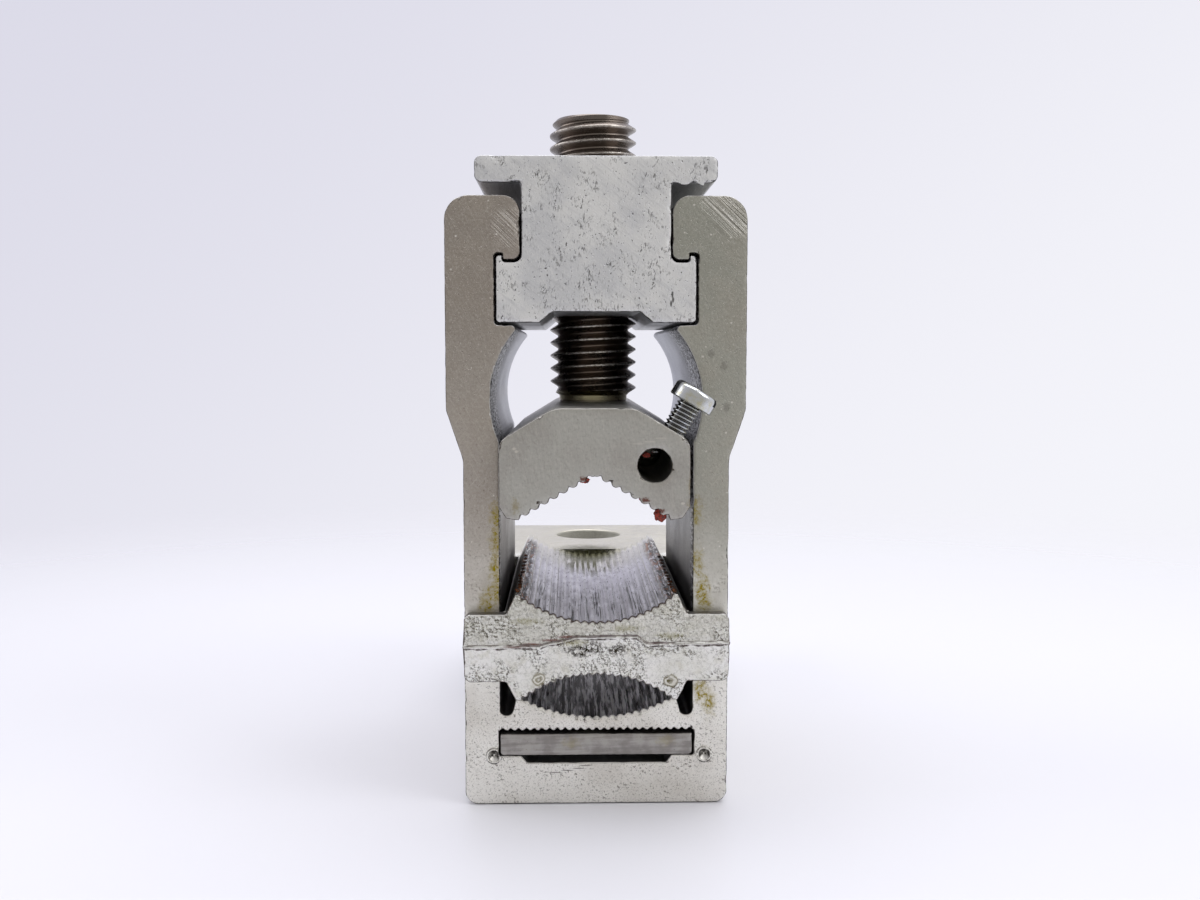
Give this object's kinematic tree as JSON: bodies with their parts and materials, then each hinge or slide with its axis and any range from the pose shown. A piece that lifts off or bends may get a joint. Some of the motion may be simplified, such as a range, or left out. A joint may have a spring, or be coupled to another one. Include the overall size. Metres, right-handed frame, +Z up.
{
  "type": "equipment terminal clamp",
  "caption": "Frame-type terminal clamp: a screw-driven V jaw under a slide-in bridge clamps conductors on a serrated contact bar with a bolted palm.",
  "frame": {"origin": "centre of the frame's flat base", "axes": "+Z up along the pressure screw, -Y the front with the auxiliary screw, +Y towards the palm"},
  "size_m": [0.0366, 0.0855, 0.0875],
  "materials": {
    "frame_aluminium": "extruded and sawn, scratched, slightly stained",
    "tinned_casting": "cast, tin plated, fine grained",
    "plate_metal": "rolled, dull grey",
    "bridge_aluminium": "extruded and sawn, light grey",
    "jaw_aluminium": "extruded and sawn, satin",
    "spring_steel": "oiled",
    "dark_steel": "dark steel thread, slightly brown",
    "zinc_steel": "bright zinc plated"
  },
  "bodies": {
    "frame": {"clamp_frame": "frame_aluminium", "contact_bar": "tinned_casting", "slot_plate": "plate_metal"},
    "bridge": {"bridge": "bridge_aluminium"},
    "jaw": {"pressure_jaw": "jaw_aluminium", "retaining_ring": "spring_steel"},
    "pressure_screw": {"pressure_screw": "dark_steel"},
    "auxiliary_screw": {"auxiliary_screw": "zinc_steel"}
  },
  "joints": [
    {"name": "bridge_slide", "type": "slide", "parent": "frame", "child": "bridge", "axis": [0, -1, 0], "range_m": [0, 0.0427]},
    {"name": "jaw_travel", "type": "slide", "parent": "bridge", "child": "jaw", "axis": [0, 0, 1], "range_m": [-0.0093, 0.01]},
    {"name": "screw_turn", "type": "hinge", "parent": "jaw", "child": "pressure_screw", "pos_m": [0, 0, 0.05], "axis": [0, 0, 1], "range_deg": [-1914, 2058]},
    {"name": "auxiliary_screw_travel", "type": "slide", "parent": "jaw", "child": "auxiliary_screw", "axis": [0.521, -0.0064, 0.8536], "range_m": [-0.0035, 0.0024]}
  ],
  "couplings": [
    {"joint": "screw_turn", "follows": "jaw_travel", "rad_per_m": 3590.4}
  ]
}
